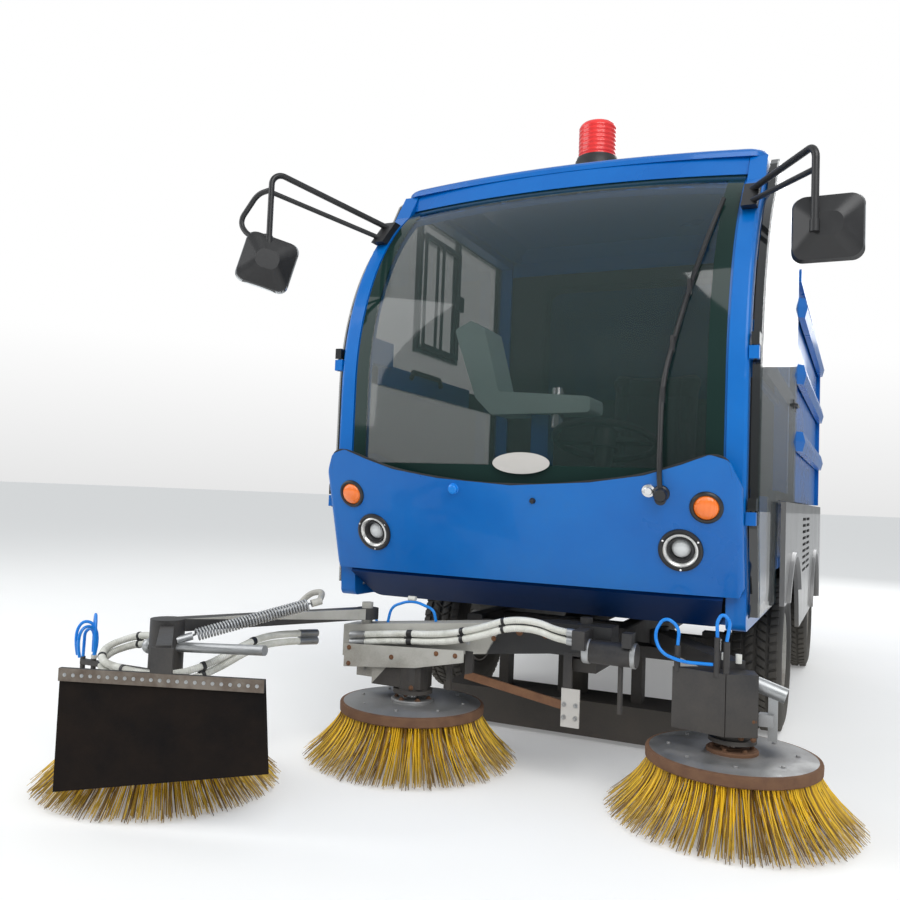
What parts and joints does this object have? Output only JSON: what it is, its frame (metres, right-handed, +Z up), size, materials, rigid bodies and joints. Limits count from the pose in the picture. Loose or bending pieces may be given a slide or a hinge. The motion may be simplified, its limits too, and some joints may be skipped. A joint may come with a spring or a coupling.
{
  "type": "compact street sweeper truck",
  "caption": "Compact street sweeper: glazed cab, ribbed tipping hopper with rear door, suction nozzle, and swinging arms at the nose that carry spinning disc brushes.",
  "frame": {"origin": "middle of the whole footprint, on the floor the wheels stand on", "axes": "-Y is forward, +X is the truck's left, +Z up"},
  "size_m": [2.322, 5.0148, 2.5079],
  "materials": {
    "black_plastic": "satin",
    "black_steel": "worn satin",
    "blue_paint": "gloss",
    "bristle_yellow": "worn bristles",
    "chrome": "polished",
    "galvanised": "dull",
    "glass": "tinted",
    "grey_paint": "satin",
    "grey_plastic": "grained",
    "hose_white": "spiral wrap",
    "lamp_orange": "lens",
    "lamp_red": "ribbed lens",
    "lamp_silver": "clear lens",
    "rubber": "matte",
    "seat_cloth": "woven",
    "tube_blue": "smooth",
    "tyre": "worn",
    "wheel_rim": "dusty"
  },
  "bodies": {
    "chassis": {"beacon_base": "black_plastic", "beacon_lens": "lamp_red", "cab_floor": "grey_plastic", "cab_frame": "blue_paint", "cab_rear_wall": "grey_plastic", "cab_roof": "blue_paint", "chassis_frame": "black_steel", "console": "grey_plastic", "engine_block": "black_steel", "front_axle": "black_steel", "headlamps": "lamp_silver", "indicators": "lamp_orange", "lower_skirt": "blue_paint", "mirror_left": "black_plastic", "mirror_right": "black_plastic", "nose_panel": "blue_paint", "rear_axle": "black_steel", "rear_bumper": "black_steel", "rear_lamps": "lamp_red", "rear_window": "glass", "seat": "seat_cloth", "seat_base": "grey_plastic", "side_panel_left": "grey_paint", "side_panel_right": "grey_paint", "steering_column": "black_plastic", "suction_hose": "rubber", "suction_nozzle": "black_steel", "windscreen": "glass", "wiper": "black_plastic"},
    "hopper": {"hopper": "blue_paint"},
    "rear_door": {"hopper_rear_door": "blue_paint"},
    "tilt_barrel": {"tilt_barrel": "black_steel"},
    "tilt_rod": {"tilt_rod": "chrome"},
    "knuckle_left": {"knuckle_left": "black_steel"},
    "knuckle_right": {"knuckle_right": "black_steel"},
    "door_left": {"door_frame_left": "black_plastic", "door_glass_left": "glass"},
    "door_right": {"door_frame_right": "black_plastic", "door_glass_right": "glass"},
    "arm_left": {"arm_left": "galvanised", "tube_left": "tube_blue"},
    "arm_middle": {"arm_middle": "galvanised", "hose_beam": "hose_white", "tube_middle": "tube_blue"},
    "arm_outer": {"arm_outer": "galvanised", "flap": "rubber", "spring_outer": "galvanised", "hose_outer": "hose_white", "tube_outer": "tube_blue"},
    "brush_left": {"brush_left": "bristle_yellow"},
    "brush_middle": {"brush_middle": "bristle_yellow"},
    "brush_outer": {"brush_outer": "bristle_yellow"},
    "wheel_front_left": {"tyre_front_left": "tyre", "rim_front_left": "wheel_rim"},
    "wheel_front_right": {"tyre_front_right": "tyre", "rim_front_right": "wheel_rim"},
    "wheel_rear_left": {"tyre_rear_left": "tyre", "rim_rear_left": "wheel_rim"},
    "wheel_rear_right": {"tyre_rear_right": "tyre", "rim_rear_right": "wheel_rim"}
  },
  "joints": [
    {"name": "steer_left", "type": "hinge", "parent": "chassis", "child": "knuckle_left", "pos_m": [0.621, -0.3, 0.31], "axis": [0, 0, 1], "range_deg": [-22, 22]},
    {"name": "steer_right", "type": "hinge", "parent": "chassis", "child": "knuckle_right", "pos_m": [-0.439, -0.3, 0.31], "axis": [0, 0, 1], "range_deg": [-22, 22]},
    {"name": "wheel_front_left_spin", "type": "hinge", "parent": "knuckle_left", "child": "wheel_front_left", "pos_m": [0.761, -0.3, 0.31], "axis": [1, 0, 0], "continuous": true},
    {"name": "wheel_front_right_spin", "type": "hinge", "parent": "knuckle_right", "child": "wheel_front_right", "pos_m": [-0.579, -0.3, 0.31], "axis": [1, 0, 0], "continuous": true},
    {"name": "wheel_rear_left_spin", "type": "hinge", "parent": "chassis", "child": "wheel_rear_left", "pos_m": [0.761, 1.4, 0.31], "axis": [1, 0, 0], "continuous": true},
    {"name": "wheel_rear_right_spin", "type": "hinge", "parent": "chassis", "child": "wheel_rear_right", "pos_m": [-0.579, 1.4, 0.31], "axis": [1, 0, 0], "continuous": true},
    {"name": "door_left_hinge", "type": "hinge", "parent": "chassis", "child": "door_left", "pos_m": [0.831, -1.428, 0.96], "axis": [0, 0, -1], "range_deg": [0, 70]},
    {"name": "door_right_hinge", "type": "hinge", "parent": "chassis", "child": "door_right", "pos_m": [-0.649, -1.428, 0.96], "axis": [0, 0, 1], "range_deg": [0, 70]},
    {"name": "hopper_tilt", "type": "hinge", "parent": "chassis", "child": "hopper", "pos_m": [0.091, 2.35, 0.905], "axis": [-1, 0, 0], "range_deg": [0, 45]},
    {"name": "tilt_barrel_turn", "type": "hinge", "parent": "chassis", "child": "tilt_barrel", "pos_m": [0.091, 0.88, 0.52], "axis": [1, 0, 0], "range_deg": [0, 16.42]},
    {"name": "tilt_rod_slide", "type": "slide", "parent": "tilt_barrel", "child": "tilt_rod", "axis": [0, 0.8844, 0.4668], "range_m": [0, 0.4927]},
    {"name": "rear_door_hinge", "type": "hinge", "parent": "hopper", "child": "rear_door", "pos_m": [0.091, 2.476, 1.962], "axis": [1, 0, 0], "range_deg": [0, 80]},
    {"name": "arm_left_swing", "type": "hinge", "parent": "chassis", "child": "arm_left", "pos_m": [0.491, -1, 0.431], "axis": [0, 0, 1], "range_deg": [-3, 25]},
    {"name": "arm_middle_swing", "type": "hinge", "parent": "chassis", "child": "arm_middle", "pos_m": [0.326, -1.41, 0.462], "axis": [0, 0, -1], "range_deg": [-8, 8]},
    {"name": "arm_outer_swing", "type": "hinge", "parent": "arm_middle", "child": "arm_outer", "pos_m": [-0.469, -1.45, 0.476], "axis": [0, 0, 1], "range_deg": [-35, 8]},
    {"name": "brush_left_spin", "type": "hinge", "parent": "arm_left", "child": "brush_left", "pos_m": [0.796, -1.49, 0.196], "axis": [0, 0, 1], "continuous": true},
    {"name": "brush_middle_spin", "type": "hinge", "parent": "arm_middle", "child": "brush_middle", "pos_m": [-0.269, -1.46, 0.196], "axis": [0, 0, 1], "continuous": true},
    {"name": "brush_outer_spin", "type": "hinge", "parent": "arm_outer", "child": "brush_outer", "pos_m": [-0.796, -2.1, 0.196], "axis": [0, 0, 1], "continuous": true}
  ],
  "couplings": [
    {"joint": "steer_right", "follows": "steer_left", "ratio": 1},
    {"joint": "tilt_barrel_turn", "follows": "hopper_tilt", "ratio": 0.36492},
    {"joint": "tilt_rod_slide", "follows": "hopper_tilt", "m_per_rad": 0.62729}
  ]
}
